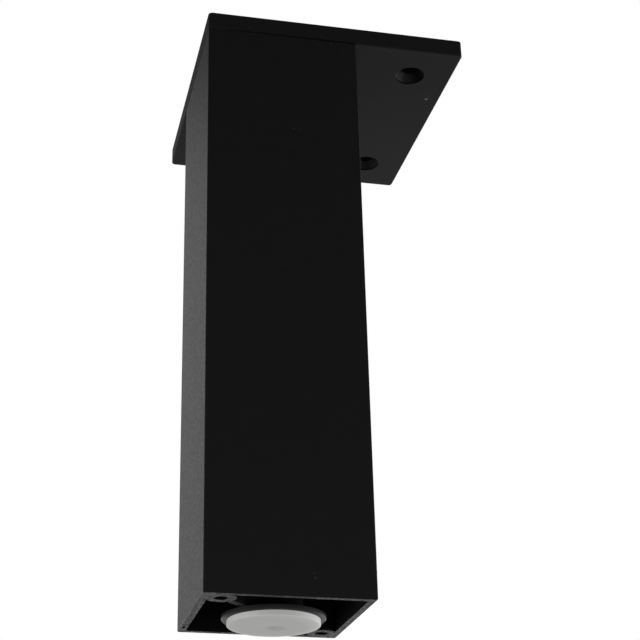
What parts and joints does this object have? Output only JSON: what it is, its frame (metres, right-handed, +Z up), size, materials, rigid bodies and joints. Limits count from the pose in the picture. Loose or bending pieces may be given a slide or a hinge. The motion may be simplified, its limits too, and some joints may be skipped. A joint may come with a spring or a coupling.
{
  "type": "furniture leg",
  "caption": "Square black furniture leg with an offset screw-on plate and a round levelling foot that screws in and out.",
  "frame": {"origin": "centre of the glide pad's underside, on the foot's axis, with the foot screwed fully in", "axes": "+Z up along the tube to the furniture; the plate reaches out of the tube towards +X and +Y"},
  "size_m": [0.07, 0.07, 0.1592],
  "materials": {
    "black_coat": "satin",
    "black_coat_plate": "satin",
    "screw_steel": "satin",
    "stud_steel": "satin",
    "disc_black": "satin",
    "pad_grey": "satin"
  },
  "bodies": {
    "leg": {"leg_tube": "black_coat", "top_plate": "black_coat_plate", "plate_screw_near_left": "screw_steel", "plate_screw_far_right": "screw_steel"},
    "glide": {"glide_pad": "pad_grey"},
    "foot": {"foot_stud": "stud_steel", "foot_disc": "disc_black"}
  },
  "joints": [
    {"name": "foot_travel", "type": "slide", "parent": "leg", "child": "glide", "axis": [0, 0, -1], "range_m": [0, 0.015]},
    {"name": "foot_turn", "type": "hinge", "parent": "glide", "child": "foot", "pos_m": [0, 0, 0], "axis": [0, 0, -1], "range_deg": [0, 4320]}
  ],
  "couplings": [
    {"joint": "foot_travel", "follows": "foot_turn", "m_per_rad": 0.00019894}
  ]
}
